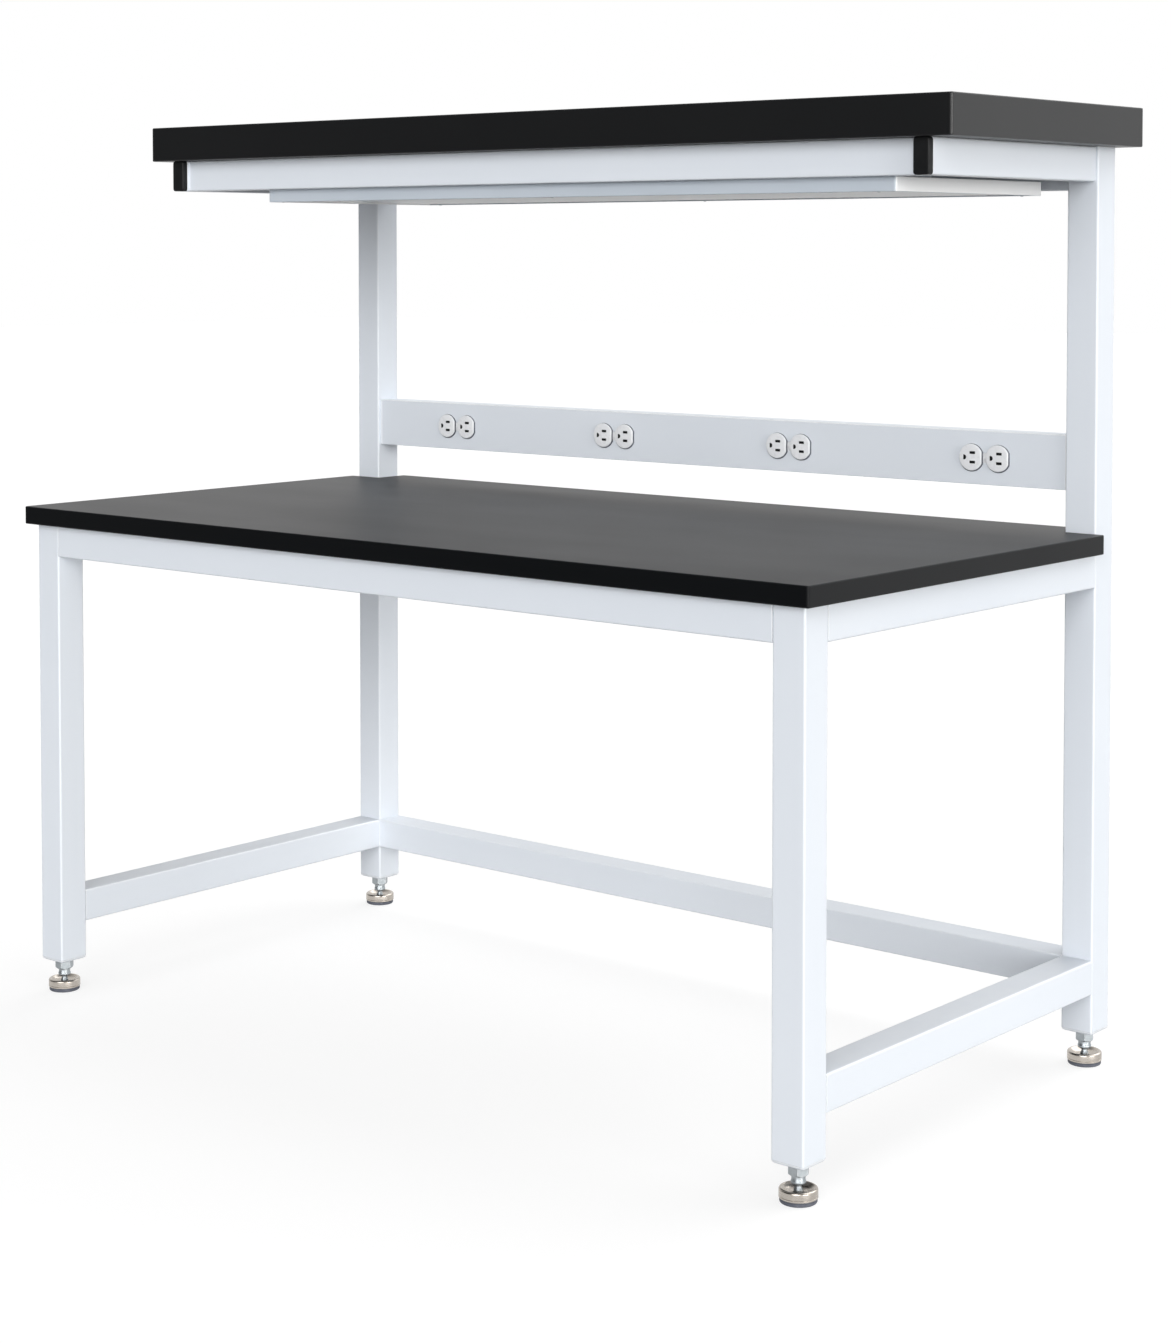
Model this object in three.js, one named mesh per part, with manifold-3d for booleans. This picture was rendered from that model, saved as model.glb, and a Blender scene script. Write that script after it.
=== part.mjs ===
// Lab bench with a reagent shelf: a white square-tube frame on levelling feet, a dark worktop,
// a thick dark shelf carried on cantilever arms, a flat light under the shelf and a power rail.
// Millimetres. +X is to the right, +Y to the rear, +Z up. The origin is on the floor, under the
// middle of the bench.

import * as THREE from 'three';
import { mergeVertices } from 'three/addons/utils/BufferGeometryUtils.js';
import Module from 'manifold-3d';

const wasm = await Module();
wasm.setup();

// Clearances and facets
const FIT = 0.3; // between pieces that fit into, turn on or slide through each other
const CORNER_STEPS = 4; // facets of a rounded corner
const ROUND_STEPS = 24; // facets of a turned piece

// Worktop
const TOP_WIDTH = 1524;
const TOP_DEPTH = 800;
const TOP_THICKNESS = 28;
const WORK_HEIGHT = 780;
const TOP_OVERHANG = 15; // past the legs on every side
const SLAB_CORNER = 4; // corner radius seen from above
const SLAB_EASE = 1.5; // eased edges of the worktop and the shelf

// Frame
const TUBE = 50;
const TUBE_WALL = 2;
const TUBE_CORNER = 3;
const LEG_CLEARANCE = 50; // from the floor to the legs' end caps
const END_CAP = 4; // thickness of those caps
const END_CAP_EASE = 2; // rounded lower edges
const STRETCHER_RISE = 60; // from there to the stretchers

// Reagent shelf
const SHELF_END_OVERHANG = 36; // past the posts at each end
const SHELF_DEPTH = 514;
const SHELF_THICKNESS = 56;
const SHELF_CLEARANCE = 556; // from the worktop to the underside of the shelf
const SHELF_REAR_OVERHANG = 15; // behind the posts
const ARM_WIDTH = 25;
const ARM_HEIGHT = 50;
const ARM_INSET = 5; // from the posts' outer faces
const ARM_SETBACK = 10; // from the shelf's front edge to the caps
const CAP_DEPTH = 10;
const CAP_EASE = 2;
const CAP_PLUG = 18; // length of the plug inside the arm
const RAIL_DEPTH = 25; // front and rear rails and the bearers
const FRONT_RAIL_SETBACK = 5; // from the front ends of the arms
const REAR_RAIL_HEIGHT = 62;
const REAR_RAIL_SETBACK = 6; // from the posts' front faces
const BEARER_SPACING = 900;

// Light
const LIGHT_LENGTH = 1212;
const LIGHT_DEPTH = 380;
const LIGHT_THICKNESS = 20;
const LIGHT_OFFSET = 67; // to the right of the middle
const LIGHT_LAP = 12; // under the front rail
const LIGHT_SHEET = 1.5;
const LIGHT_CORNER = 4;
const LIGHT_LIP = 9; // width of the lip that holds the diffuser
const DIFFUSER_THICKNESS = 2.5;
const LED_BOARD_WIDTH = 60;
const LED_BOARD_THICKNESS = 1.6;
const LED_BOARD_MARGIN = 40; // from the ends of the light
const DRIVER_LENGTH = 280;
const DRIVER_WIDTH = 38;
const DRIVER_HEIGHT = 11;
const DRIVER_SPACING = 70; // from the board's middle to the driver's
const ROCKER_RADIUS = 5;
const ROCKER_WIDTH = 18;
const ROCKER_EDGE = 2; // from the pivot to the rocker's outer edges
const ROCKER_DIP = 1.2; // from the pivot to the hollow between them
const ROCKER_TILT = 8; // degrees either side of the middle

// Power rail
const POWER_RISE = 60; // above the worktop
const POWER_HEIGHT = 80;
const POWER_DEPTH = 42;
const POWER_SETBACK = 6; // behind the posts' front faces
const POWER_SHEET = 1.5;
const POWER_END = 3; // end plates
const GLAND_RADIUS = 10;
const GLAND_BORE = 4;
const GLAND_REACH = 10; // behind the rail
const GLAND_NECK = 7;
const GLAND_INSET = 60; // from the rail's right end

// Duplex receptacles
const OUTLET_COUNT = 4;
const OUTLET_SPACING = 356;
const OUTLET_OFFSET = 25; // to the right of the middle
const FACE_DIAMETER = 40;
const FACE_FLAT = 18; // from a face's middle to the flat on its right
const FACE_SPACING = 45.5;
const FACE_REACH = 4; // in front of the rail
const STRAP_HEIGHT = 13;
const STRAP_REACH = 2;
const DEVICE_HEIGHT = 44;
const DEVICE_DEPTH = 26;
const DEVICE_MARGIN = 3; // beside the faces
const SLOT_LENGTH = 9.5;
const SLOT_HEIGHT = 3.6;
const SLOT_SHIFT = 3; // to the right of the face's middle
const SLOT_SPACING = 14.2;
const GROUND_RADIUS = 3.3;
const GROUND_SHIFT = 11; // to the left of the face's middle
const SOCKET_DEPTH = 15;
const SCREW_RADIUS = 1.4;
const SCREW_HEAD_RADIUS = 2.6;
const SCREW_HEAD = 1;
const SCREW_LENGTH = 12;

// Levelling feet
const RUBBER_RADIUS = 24;
const RUBBER_THICKNESS = 6;
const RUBBER_EASE = 1.5;
const CUP_RADIUS = 25;
const CUP_HEIGHT = 13;
const CUP_FLOOR = 2;
const CUP_RIM = 1.5;
const SOCKET_RISE = 6.5; // height of the socket's wall
const BALL_RADIUS = 6;
const NECK_RADIUS = 4.5;
const COLLAR_RADIUS = 9;
const COLLAR_HEIGHT = 11;
const COLLAR_EASE = 2;
const THREAD_RADIUS = 8;
const THREAD_TAIL = 12; // above the insert
const THREAD_TIP = 1.5; // chamfer of the stud's upper end
const NUT_ACROSS_FLATS = 25;
const NUT_HEIGHT = 15;
const NUT_EASE = 1;
const INSERT_HEIGHT = 25;

// Places worked out from the sizes above
const LEG_X = TOP_WIDTH / 2 - TOP_OVERHANG - TUBE / 2;
const LEG_Y = TOP_DEPTH / 2 - TOP_OVERHANG - TUBE / 2;
const BAY_WIDTH = 2 * LEG_X - TUBE; // between left and right legs
const BAY_DEPTH = 2 * LEG_Y - TUBE; // between front legs and rear posts
const TOP_UNDERSIDE = WORK_HEIGHT - TOP_THICKNESS;
const SHELF_UNDERSIDE = WORK_HEIGHT + SHELF_CLEARANCE;
const POST_FRONT = LEG_Y - TUBE / 2;
const SHELF_WIDTH = 2 * (LEG_X + TUBE / 2 + SHELF_END_OVERHANG);
const SHELF_REAR = LEG_Y + TUBE / 2 + SHELF_REAR_OVERHANG;
const ARM_FRONT = SHELF_REAR - SHELF_DEPTH + ARM_SETBACK + CAP_DEPTH;
const ARM_X = LEG_X + TUBE / 2 - ARM_INSET - ARM_WIDTH / 2;
const ARM_Z = SHELF_UNDERSIDE - ARM_HEIGHT / 2;
const FRONT_RAIL_REAR = ARM_FRONT + FRONT_RAIL_SETBACK + RAIL_DEPTH;
const REAR_RAIL_FRONT = POST_FRONT + REAR_RAIL_SETBACK;

const FINISHES = {
  powderCoat: { color: 0xe3e7ed, roughness: 0.45, metalness: 0 },
  blackTop: { color: 0x2b2d30, roughness: 0.42, metalness: 0 },
  blackPlastic: { color: 0x17181a, roughness: 0.5, metalness: 0 },
  whitePlastic: { color: 0xeceef1, roughness: 0.35, metalness: 0 },
  opalPlastic: { color: 0xf4f5f3, roughness: 0.3, metalness: 0 },
  circuitBoard: { color: 0xf2f3ee, roughness: 0.6, metalness: 0 },
  zinc: { color: 0xa9b0b5, roughness: 0.35, metalness: 1 },
  nickel: { color: 0xb4aaa0, roughness: 0.25, metalness: 1 },
  rubber: { color: 0x3b3d44, roughness: 0.8, metalness: 0 },
};

const bench = new THREE.Group();

// Scene helpers

function add(name, geometry, finish, parent = bench) {
  const mesh = new THREE.Mesh(geometry, new THREE.MeshStandardMaterial(FINISHES[finish]));
  mesh.name = name;
  parent.add(mesh);
  return mesh;
}

function toSolid(geometry) {
  const bare = geometry.clone();
  bare.deleteAttribute('normal');
  bare.deleteAttribute('uv');
  const merged = mergeVertices(bare);
  const mesh = new wasm.Mesh({
    numProp: 3,
    vertProperties: merged.getAttribute('position').array,
    triVerts: Uint32Array.from(merged.index.array),
  });
  return new wasm.Manifold(mesh);
}

function toGeometry(solid) {
  const mesh = solid.getMesh();
  const geometry = new THREE.BufferGeometry();
  geometry.setAttribute('position', new THREE.BufferAttribute(mesh.vertProperties, 3));
  geometry.setIndex(new THREE.BufferAttribute(mesh.triVerts, 1));
  geometry.computeVertexNormals();
  return geometry;
}

function join(geometries) {
  return toGeometry(geometries.map(toSolid).reduce((whole, piece) => whole.add(piece)));
}

function cut(geometry, tools) {
  return toGeometry(tools.map(toSolid).reduce((whole, tool) => whole.subtract(tool), toSolid(geometry)));
}

// Outlines

// Traces a closed path through corners given as [x, y, radius], each rounded by its radius.
function trace(path, corners) {
  corners.forEach(([x, y, radius], index) => {
    const corner = new THREE.Vector2(x, y);
    const before = new THREE.Vector2(...corners.at(index - 1));
    const after = new THREE.Vector2(...corners[(index + 1) % corners.length]);
    const enter = before.sub(corner).setLength(radius).add(corner);
    const leave = after.sub(corner).setLength(radius).add(corner);
    if (index === 0) path.moveTo(enter.x, enter.y);
    else path.lineTo(enter.x, enter.y);
    if (radius > 0) path.quadraticCurveTo(x, y, leave.x, leave.y);
  });
  path.closePath();
  return path;
}

function rectangleCorners(width, height, radius) {
  const x = width / 2;
  const y = height / 2;
  return [[-x, -y, radius], [x, -y, radius], [x, y, radius], [-x, y, radius]];
}

function rectangle(width, height, radius = 0) {
  return trace(new THREE.Shape(), rectangleCorners(width, height, radius));
}

function tubeSection(width, height) {
  const shape = rectangle(width, height, TUBE_CORNER);
  const inner = rectangleCorners(width - 2 * TUBE_WALL, height - 2 * TUBE_WALL, TUBE_CORNER / 2);
  shape.holes.push(trace(new THREE.Path(), inner));
  return shape;
}

function circle(radius) {
  return new THREE.Shape().absarc(0, 0, radius, 0, 2 * Math.PI);
}

// Solids

// Extrudes a shape along +Z from z = 0. An ease rounds off the edges of both ends.
function extrude(shape, length, ease = 0, steps = CORNER_STEPS) {
  const geometry = new THREE.ExtrudeGeometry(shape, {
    depth: length - 2 * ease,
    curveSegments: steps,
    bevelEnabled: ease > 0,
    bevelThickness: ease,
    bevelSize: ease,
    bevelOffset: -ease,
    bevelSegments: 2,
  });
  return geometry.translate(0, 0, ease);
}

function box(width, depth, height) {
  return new THREE.BoxGeometry(width, depth, height);
}

// Turns a profile of [radius, height] points about Z. It starts and ends on the axis.
function turn(profile) {
  const points = profile.map(([radius, height]) => new THREE.Vector2(radius, height));
  return new THREE.LatheGeometry(points, ROUND_STEPS).rotateX(Math.PI / 2);
}

function cylinder(radius, length) {
  return extrude(circle(radius), length, 0, ROUND_STEPS);
}

// Straight tubes, each centred on its place
function tubeAlongX(name, length, depth, height, [x, y, z]) {
  const geometry = extrude(tubeSection(height, depth), length).translate(0, 0, -length / 2);
  const mesh = add(name, geometry, 'powderCoat');
  mesh.rotation.y = Math.PI / 2;
  mesh.position.set(x, y, z);
}

function tubeAlongY(name, length, width, height, [x, y, z]) {
  const geometry = extrude(tubeSection(width, height), length).translate(0, 0, -length / 2);
  const mesh = add(name, geometry, 'powderCoat');
  mesh.rotation.x = -Math.PI / 2;
  mesh.position.set(x, y, z);
}

// An upright tube between two heights
function upright(name, [x, y], bottom, top) {
  add(name, extrude(tubeSection(TUBE, TUBE), top - bottom), 'powderCoat').position.set(x, y, bottom);
}

const SIDES = [['left', -1], ['right', 1]];

// The frame: legs, posts, aprons under the worktop and stretchers near the floor
function buildFrame() {
  const apronZ = TOP_UNDERSIDE - TUBE / 2;
  const stretcherZ = LEG_CLEARANCE + STRETCHER_RISE + TUBE / 2;
  for (const [side, sign] of SIDES) {
    upright(`leg_front_${side}`, [sign * LEG_X, -LEG_Y], LEG_CLEARANCE + END_CAP, TOP_UNDERSIDE);
    upright(`post_rear_${side}`, [sign * LEG_X, LEG_Y], LEG_CLEARANCE + END_CAP, SHELF_UNDERSIDE);
    tubeAlongY(`apron_${side}`, BAY_DEPTH, TUBE, TUBE, [sign * LEG_X, 0, apronZ]);
    tubeAlongY(`stretcher_${side}`, BAY_DEPTH, TUBE, TUBE, [sign * LEG_X, 0, stretcherZ]);
  }
  tubeAlongX('apron_front', BAY_WIDTH, TUBE, TUBE, [0, -LEG_Y, apronZ]);
  tubeAlongX('apron_rear', BAY_WIDTH, TUBE, TUBE, [0, LEG_Y, apronZ]);
  tubeAlongX('stretcher_rear', BAY_WIDTH, TUBE, TUBE, [0, LEG_Y, stretcherZ]);
}

// The worktop, notched at its rear corners so that the posts pass
function buildWorktop() {
  const x = TOP_WIDTH / 2;
  const y = TOP_DEPTH / 2;
  const notchX = LEG_X - TUBE / 2 - FIT;
  const notchY = POST_FRONT - FIT;
  const outline = trace(new THREE.Shape(), [
    [-x, -y, SLAB_CORNER],
    [x, -y, SLAB_CORNER],
    [x, notchY, SLAB_CORNER],
    [notchX, notchY, SLAB_EASE],
    [notchX, y, SLAB_CORNER],
    [-notchX, y, SLAB_CORNER],
    [-notchX, notchY, SLAB_EASE],
    [-x, notchY, SLAB_CORNER],
  ]);
  add('worktop', extrude(outline, TOP_THICKNESS, SLAB_EASE), 'blackTop').position.z = TOP_UNDERSIDE;
}

// A plastic cap: a head as large as the arm and a plug that fits inside it, facing +Z
function armCap() {
  const plugWidth = ARM_WIDTH - 2 * (TUBE_WALL + FIT);
  const plugHeight = ARM_HEIGHT - 2 * (TUBE_WALL + FIT);
  const head = extrude(rectangle(ARM_WIDTH, ARM_HEIGHT, TUBE_CORNER), CAP_DEPTH, CAP_EASE);
  const plug = extrude(rectangle(plugWidth, plugHeight, TUBE_CORNER), CAP_PLUG + CAP_EASE);
  return join([head, plug.translate(0, 0, -CAP_PLUG)]);
}

// The shelf slab on its arms, rails and bearers
function buildShelf() {
  const slab = extrude(rectangle(SHELF_WIDTH, SHELF_DEPTH, SLAB_CORNER), SHELF_THICKNESS, SLAB_EASE);
  add('shelf_top', slab, 'blackTop').position.set(0, SHELF_REAR - SHELF_DEPTH / 2, SHELF_UNDERSIDE);

  const armLength = POST_FRONT - ARM_FRONT;
  const bearerLength = REAR_RAIL_FRONT - FRONT_RAIL_REAR;
  const bearerY = FRONT_RAIL_REAR + bearerLength / 2;
  for (const [side, sign] of SIDES) {
    const armY = ARM_FRONT + armLength / 2;
    const bearerX = sign * BEARER_SPACING / 2;
    tubeAlongY(`shelf_arm_${side}`, armLength, ARM_WIDTH, ARM_HEIGHT, [sign * ARM_X, armY, ARM_Z]);
    tubeAlongY(`shelf_bearer_${side}`, bearerLength, RAIL_DEPTH, ARM_HEIGHT, [bearerX, bearerY, ARM_Z]);
    const cap = add(`shelf_arm_cap_${side}`, armCap(), 'blackPlastic');
    cap.rotation.x = Math.PI / 2;
    cap.position.set(sign * ARM_X, ARM_FRONT, ARM_Z);
  }

  const frontRailLength = 2 * ARM_X - ARM_WIDTH;
  const frontRailY = FRONT_RAIL_REAR - RAIL_DEPTH / 2;
  const rearRailY = REAR_RAIL_FRONT + RAIL_DEPTH / 2;
  const rearRailZ = SHELF_UNDERSIDE - REAR_RAIL_HEIGHT / 2;
  tubeAlongX('shelf_front_rail', frontRailLength, RAIL_DEPTH, ARM_HEIGHT, [0, frontRailY, ARM_Z]);
  tubeAlongX('shelf_rear_rail', BAY_WIDTH, RAIL_DEPTH, REAR_RAIL_HEIGHT, [0, rearRailY, rearRailZ]);
}

// The outline of the rocker, seen along its pivot: a disc whose outer side is a shallow hollow.
function rockerOutline() {
  const angle = Math.acos(ROCKER_EDGE / ROCKER_RADIUS);
  const shape = new THREE.Shape();
  shape.absarc(0, 0, ROCKER_RADIUS, angle, 2 * Math.PI - angle);
  shape.lineTo(ROCKER_DIP, 0);
  shape.closePath();
  return shape;
}

// The flat light: a pan open below, its diffuser on a lip, the board and driver, and a rocker switch
function buildLight() {
  const light = new THREE.Group();
  const lightFront = FRONT_RAIL_REAR - LIGHT_LAP;
  light.position.set(LIGHT_OFFSET, lightFront + LIGHT_DEPTH / 2, SHELF_UNDERSIDE - ARM_HEIGHT);
  bench.add(light);

  const innerLength = LIGHT_LENGTH - 2 * LIGHT_SHEET;
  const innerDepth = LIGHT_DEPTH - 2 * LIGHT_SHEET;
  const innerHeight = LIGHT_THICKNESS - 2 * LIGHT_SHEET;
  const rockerX = -LIGHT_LENGTH / 2 + LIGHT_SHEET;
  const rockerZ = -LIGHT_THICKNESS / 2;
  const pan = extrude(rectangle(LIGHT_LENGTH, LIGHT_DEPTH, LIGHT_CORNER), LIGHT_THICKNESS, LIGHT_SHEET / 2);
  const hollow = box(innerLength, innerDepth, innerHeight).translate(0, 0, -LIGHT_THICKNESS / 2);
  const mouth = box(LIGHT_LENGTH - 2 * LIGHT_LIP, LIGHT_DEPTH - 2 * LIGHT_LIP, LIGHT_THICKNESS);
  const switchHole = box(4 * LIGHT_SHEET, ROCKER_WIDTH + 2 * FIT, 2 * (ROCKER_RADIUS + FIT));
  const housing = cut(pan.translate(0, 0, -LIGHT_THICKNESS), [
    hollow,
    mouth.translate(0, 0, -LIGHT_THICKNESS),
    switchHole.translate(rockerX, 0, rockerZ),
  ]);
  add('light_housing', housing, 'powderCoat', light);

  const diffuser = box(innerLength - 2 * FIT, innerDepth - 2 * FIT, DIFFUSER_THICKNESS);
  const diffuserZ = -LIGHT_THICKNESS + LIGHT_SHEET + DIFFUSER_THICKNESS / 2;
  add('light_diffuser', diffuser, 'opalPlastic', light).position.z = diffuserZ;

  const board = box(LIGHT_LENGTH - 2 * LED_BOARD_MARGIN, LED_BOARD_WIDTH, LED_BOARD_THICKNESS);
  const boardZ = -LIGHT_SHEET - LED_BOARD_THICKNESS / 2;
  add('light_led_board', board, 'circuitBoard', light).position.z = boardZ;

  const driver = add('light_driver', box(DRIVER_LENGTH, DRIVER_WIDTH, DRIVER_HEIGHT), 'whitePlastic', light);
  driver.position.set(0, DRIVER_SPACING, -LIGHT_SHEET - DRIVER_HEIGHT / 2);

  const rocker = extrude(rockerOutline(), ROCKER_WIDTH, 0, ROUND_STEPS);
  rocker.translate(0, 0, -ROCKER_WIDTH / 2).rotateX(Math.PI / 2);
  rocker.rotateY(Math.PI + THREE.MathUtils.degToRad(ROCKER_TILT));
  add('light_switch_rocker', rocker, 'blackPlastic', light).position.set(rockerX, 0, rockerZ);
}

// One receptacle face: a disc with a flat on its right, grown by a margin, standing along +Z
function outletFace(x, length, margin = 0) {
  const radius = FACE_DIAMETER / 2 + margin;
  const angle = Math.acos((FACE_FLAT + margin) / radius);
  const shape = new THREE.Shape().absarc(0, 0, radius, angle, 2 * Math.PI - angle);
  shape.closePath();
  return extrude(shape, length, 0, ROUND_STEPS).translate(x, 0, 0);
}

// The strap between the two faces
function outletStrap(length, margin = 0) {
  return extrude(rectangle(FACE_SPACING, STRAP_HEIGHT + 2 * margin), length);
}

// The slots for one plug: two blades and a ground pin whose left side is flat
function plugSlots(x) {
  const depth = SOCKET_DEPTH;
  const low = FACE_REACH - depth;
  const slots = [-1, 1].map((sign) => {
    const slot = box(SLOT_LENGTH, SLOT_HEIGHT, 2 * depth);
    return slot.translate(x + SLOT_SHIFT, sign * SLOT_SPACING / 2, low + depth);
  });
  const pin = new THREE.Shape();
  pin.absarc(0, 0, GROUND_RADIUS, -Math.PI / 2, Math.PI / 2);
  pin.lineTo(-GROUND_RADIUS / 2, GROUND_RADIUS);
  pin.lineTo(-GROUND_RADIUS / 2, -GROUND_RADIUS);
  pin.closePath();
  const ground = extrude(pin, 2 * depth, 0, CORNER_STEPS * 2).translate(x - GROUND_SHIFT, 0, low);
  return [...slots, ground];
}

// A duplex receptacle lying on its side, with z = 0 on the rail's front face and +Z to the front
function receptacle() {
  const bodyWidth = FACE_SPACING + FACE_DIAMETER + 2 * DEVICE_MARGIN;
  const body = box(bodyWidth, DEVICE_HEIGHT, DEVICE_DEPTH).translate(0, 0, -POWER_SHEET - DEVICE_DEPTH / 2);
  const faces = [-1, 1].map((sign) => {
    const face = outletFace(sign * FACE_SPACING / 2, 2 * POWER_SHEET + FACE_REACH);
    return face.translate(0, 0, -2 * POWER_SHEET);
  });
  const strap = outletStrap(2 * POWER_SHEET + STRAP_REACH).translate(0, 0, -2 * POWER_SHEET);
  const screwHole = cylinder(SCREW_RADIUS + FIT, SCREW_LENGTH + 2 * FIT);
  return cut(join([body, ...faces, strap]), [
    ...[-1, 1].flatMap((sign) => plugSlots(sign * FACE_SPACING / 2)),
    screwHole.translate(0, 0, STRAP_REACH - SCREW_LENGTH),
  ]);
}

function receptacleScrew() {
  return turn([
    [0, -SCREW_LENGTH],
    [SCREW_RADIUS, -SCREW_LENGTH],
    [SCREW_RADIUS, 0],
    [SCREW_HEAD_RADIUS, 0],
    [SCREW_HEAD_RADIUS, SCREW_HEAD / 2],
    [SCREW_RADIUS, SCREW_HEAD],
    [0, SCREW_HEAD],
  ]);
}

// The power rail between the posts. Its group has +X along the rail, +Y up and +Z to the front.
function buildPowerRail() {
  const rail = new THREE.Group();
  rail.rotation.x = Math.PI / 2;
  rail.position.set(0, POST_FRONT + POWER_SETBACK, WORK_HEIGHT + POWER_RISE + POWER_HEIGHT / 2);
  bench.add(rail);

  const length = BAY_WIDTH - 2 * POWER_END;
  const channelDepth = POWER_DEPTH - POWER_SHEET;
  const hollowHeight = POWER_HEIGHT - 2 * POWER_SHEET;
  const glandX = length / 2 - GLAND_INSET;
  const channel = box(length, POWER_HEIGHT, channelDepth).translate(0, 0, -POWER_SHEET - channelDepth / 2);
  const hollow = box(2 * length, hollowHeight, channelDepth).translate(0, 0, -channelDepth / 2);
  const glandHole = cylinder(GLAND_NECK + FIT, 4 * POWER_SHEET);
  glandHole.translate(glandX, 0, -POWER_DEPTH - POWER_SHEET);
  add('power_channel', cut(channel, [hollow, glandHole]), 'powderCoat', rail);

  const gland = join([
    cylinder(GLAND_RADIUS, GLAND_REACH).translate(0, 0, -GLAND_REACH),
    cylinder(GLAND_NECK, 4 * POWER_SHEET).translate(0, 0, -POWER_SHEET),
  ]);
  const glandBore = cylinder(GLAND_BORE, 4 * GLAND_REACH).translate(0, 0, -2 * GLAND_REACH);
  const glandMesh = add('power_gland', cut(gland, [glandBore]), 'blackPlastic', rail);
  glandMesh.position.set(glandX, 0, -POWER_DEPTH);

  for (const [side, sign] of SIDES) {
    const plate = add(`power_end_${side}`, box(POWER_END, POWER_HEIGHT, POWER_DEPTH), 'powderCoat', rail);
    plate.position.set(sign * (length + POWER_END) / 2, 0, -POWER_DEPTH / 2);
  }

  const windows = [];
  for (let index = 0; index < OUTLET_COUNT; index += 1) {
    const x = OUTLET_OFFSET + (index - (OUTLET_COUNT - 1) / 2) * OUTLET_SPACING;
    add(`receptacle_${index + 1}`, receptacle(), 'whitePlastic', rail).position.x = x;
    const screw = add(`receptacle_screw_${index + 1}`, receptacleScrew(), 'whitePlastic', rail);
    screw.position.set(x, 0, STRAP_REACH + FIT);
    const openings = [-1, 1].map((sign) => outletFace(sign * FACE_SPACING / 2, 4 * POWER_SHEET, FIT));
    openings.push(outletStrap(4 * POWER_SHEET, FIT));
    windows.push(...openings.map((opening) => opening.translate(x, 0, -2 * POWER_SHEET)));
  }
  const cover = box(length, POWER_HEIGHT, POWER_SHEET).translate(0, 0, -POWER_SHEET / 2);
  add('power_cover', cut(cover, windows), 'powderCoat', rail);
}

// Foot pieces, each with z = 0 on the floor

const CUP_BASE = RUBBER_THICKNESS;
const BALL_Z = CUP_BASE + CUP_FLOOR + FIT + BALL_RADIUS;
const NUT_BOTTOM = LEG_CLEARANCE - FIT - NUT_HEIGHT;

function footRubber() {
  return turn([
    [0, 0],
    [RUBBER_RADIUS - RUBBER_EASE, 0],
    [RUBBER_RADIUS, RUBBER_EASE],
    [RUBBER_RADIUS, RUBBER_THICKNESS],
    [0, RUBBER_THICKNESS],
  ]);
}

// The cup: a dished top that falls to the socket of the stud's ball
function footCup() {
  const rim = CUP_BASE + CUP_HEIGHT;
  const socket = BALL_RADIUS + FIT;
  return turn([
    [0, CUP_BASE],
    [CUP_RADIUS, CUP_BASE],
    [CUP_RADIUS, rim - CUP_RIM],
    [CUP_RADIUS - CUP_RIM / 2, rim - CUP_RIM / 3],
    [CUP_RADIUS - CUP_RIM, rim],
    [CUP_RADIUS - 2 * CUP_RIM, rim - CUP_RIM / 3],
    [socket, CUP_BASE + CUP_FLOOR + SOCKET_RISE],
    [socket, CUP_BASE + CUP_FLOOR],
    [0, CUP_BASE + CUP_FLOOR],
  ]);
}

// The stud: a ball, a neck, a rounded collar under the nut and the threaded shank
function footStud() {
  const neckAngle = Math.acos(NECK_RADIUS / BALL_RADIUS);
  const arcSteps = ROUND_STEPS / 4;
  const ball = Array.from({ length: arcSteps + 1 }, (_, step) => {
    const angle = -Math.PI / 2 + (step / arcSteps) * (Math.PI / 2 + neckAngle);
    const radius = step === 0 ? 0 : BALL_RADIUS * Math.cos(angle);
    return [radius, BALL_Z + BALL_RADIUS * Math.sin(angle)];
  });
  const collarTop = NUT_BOTTOM - FIT;
  const collarBottom = collarTop - COLLAR_HEIGHT;
  const top = LEG_CLEARANCE + INSERT_HEIGHT + THREAD_TAIL;
  return turn([
    ...ball,
    [NECK_RADIUS, collarBottom],
    [COLLAR_RADIUS - COLLAR_EASE, collarBottom],
    [COLLAR_RADIUS, collarBottom + COLLAR_EASE],
    [COLLAR_RADIUS, collarTop],
    [THREAD_RADIUS, collarTop],
    [THREAD_RADIUS, top - THREAD_TIP],
    [THREAD_RADIUS - THREAD_TIP, top],
    [0, top],
  ]);
}

function footNut() {
  const radius = NUT_ACROSS_FLATS / Math.sqrt(3);
  const hexagon = new THREE.Shape();
  for (let corner = 0; corner < 6; corner += 1) {
    const angle = corner * Math.PI / 3;
    if (corner === 0) hexagon.moveTo(radius, 0);
    else hexagon.lineTo(radius * Math.cos(angle), radius * Math.sin(angle));
  }
  const bore = cylinder(THREAD_RADIUS + FIT, 2 * NUT_HEIGHT).translate(0, 0, -NUT_HEIGHT / 2);
  return cut(extrude(hexagon, NUT_HEIGHT, NUT_EASE), [bore]).translate(0, 0, NUT_BOTTOM);
}

// The cap that closes the lower end of a leg, with a threaded block inside the tube
function footInsert() {
  const side = TUBE - 2 * (TUBE_WALL + FIT);
  const plate = extrude(rectangle(TUBE, TUBE, TUBE_CORNER), 2 * END_CAP, END_CAP_EASE);
  const upper = box(2 * TUBE, 2 * TUBE, 2 * END_CAP).translate(0, 0, 2 * END_CAP);
  const block = extrude(rectangle(side, side, TUBE_CORNER), INSERT_HEIGHT);
  const bore = cylinder(THREAD_RADIUS + FIT, 2 * INSERT_HEIGHT).translate(0, 0, -INSERT_HEIGHT / 2);
  return cut(join([cut(plate, [upper]), block]), [bore]).translate(0, 0, LEG_CLEARANCE);
}

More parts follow.
